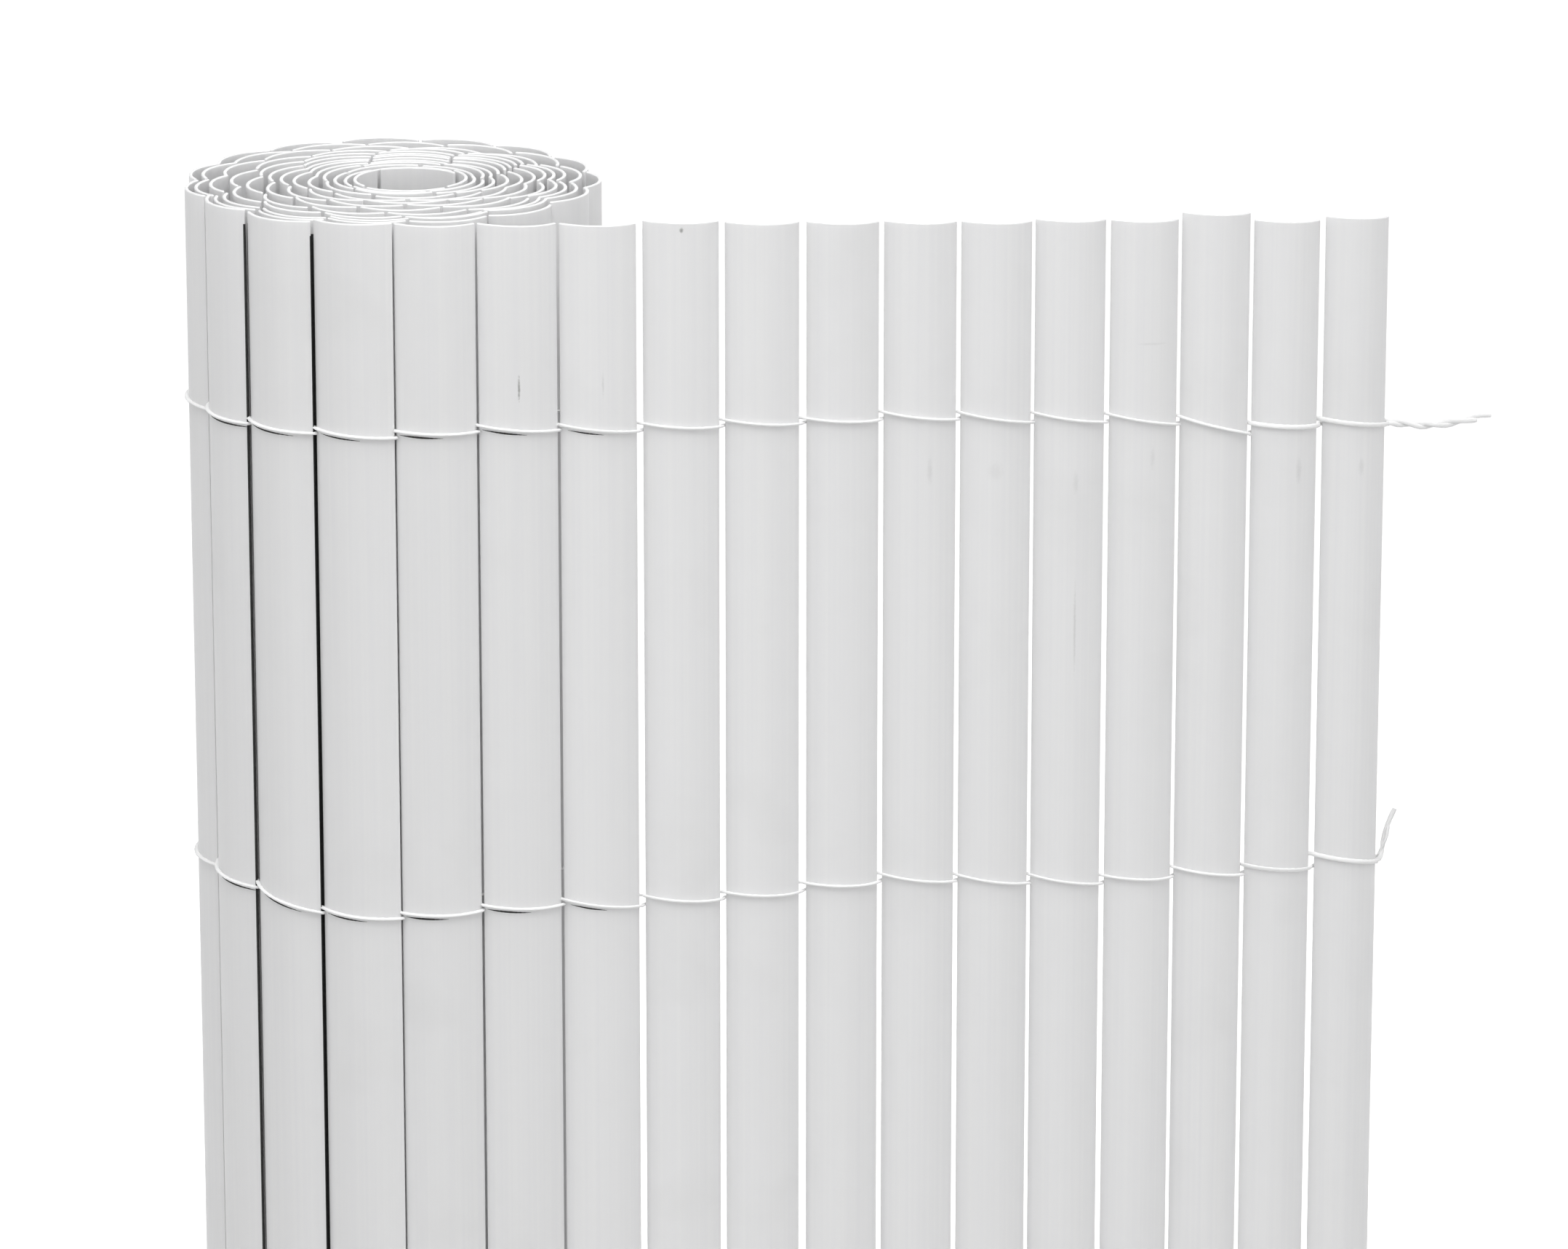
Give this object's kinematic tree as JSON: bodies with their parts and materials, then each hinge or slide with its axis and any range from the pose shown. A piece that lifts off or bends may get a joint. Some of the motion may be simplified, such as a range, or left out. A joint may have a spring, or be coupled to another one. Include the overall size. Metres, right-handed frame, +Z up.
{
  "type": "half-round slat garden screen",
  "caption": "Garden screen of white plastic half-round slats twined with rows of cord, stood on end as a roll with its free end drawn out as a nearly flat panel.",
  "frame": {"origin": "middle of the bounding box's foot, on the ground", "axes": "+Z up along the slats, +X from the roll towards the panel's free end, -Y out of the panel's face"},
  "size_m": [0.3166, 0.103, 1],
  "materials": {
    "slat_plastic": "satin white",
    "cord": "twisted white cord"
  },
  "bodies": {
    "root": {"cord_row_1_strand_a": "cord", "cord_row_1_strand_b": "cord", "cord_row_2_strand_a": "cord", "cord_row_2_strand_b": "cord", "cord_row_3_strand_a": "cord", "cord_row_3_strand_b": "cord", "cord_row_4_strand_a": "cord", "cord_row_4_strand_b": "cord", "cord_row_5_strand_a": "cord", "cord_row_5_strand_b": "cord", "cord_row_6_strand_a": "cord", "cord_row_6_strand_b": "cord", "cord_row_7_strand_a": "cord", "cord_row_7_strand_b": "cord", "cord_row_8_strand_a": "cord", "cord_row_8_strand_b": "cord", "cord_row_9_strand_a": "cord", "cord_row_9_strand_b": "cord", "outer_turn_slat_01": "slat_plastic", "outer_turn_slat_02": "slat_plastic", "outer_turn_slat_03": "slat_plastic", "outer_turn_slat_04": "slat_plastic", "outer_turn_slat_05": "slat_plastic", "outer_turn_slat_06": "slat_plastic", "outer_turn_slat_07": "slat_plastic", "outer_turn_slat_08": "slat_plastic", "outer_turn_slat_09": "slat_plastic", "outer_turn_slat_10": "slat_plastic", "outer_turn_slat_11": "slat_plastic", "outer_turn_slat_12": "slat_plastic", "outer_turn_slat_13": "slat_plastic", "outer_turn_slat_14": "slat_plastic", "outer_turn_slat_15": "slat_plastic", "outer_turn_slat_16": "slat_plastic", "panel_slat_01": "slat_plastic", "panel_slat_02": "slat_plastic", "panel_slat_03": "slat_plastic", "panel_slat_04": "slat_plastic", "panel_slat_05": "slat_plastic", "panel_slat_06": "slat_plastic", "panel_slat_07": "slat_plastic", "panel_slat_08": "slat_plastic", "panel_slat_09": "slat_plastic", "panel_slat_10": "slat_plastic", "panel_slat_11": "slat_plastic", "panel_slat_12": "slat_plastic", "panel_slat_13": "slat_plastic", "turn_02_slats": "slat_plastic", "turn_03_slats": "slat_plastic", "turn_04_slats": "slat_plastic", "turn_05_slats": "slat_plastic", "turn_06_slats": "slat_plastic", "turn_07_slats": "slat_plastic", "turn_08_slats": "slat_plastic", "turn_09_slats": "slat_plastic", "turn_10_slats": "slat_plastic", "turn_11_slats": "slat_plastic", "turn_12_slats": "slat_plastic"}
  },
  "joints": []
}
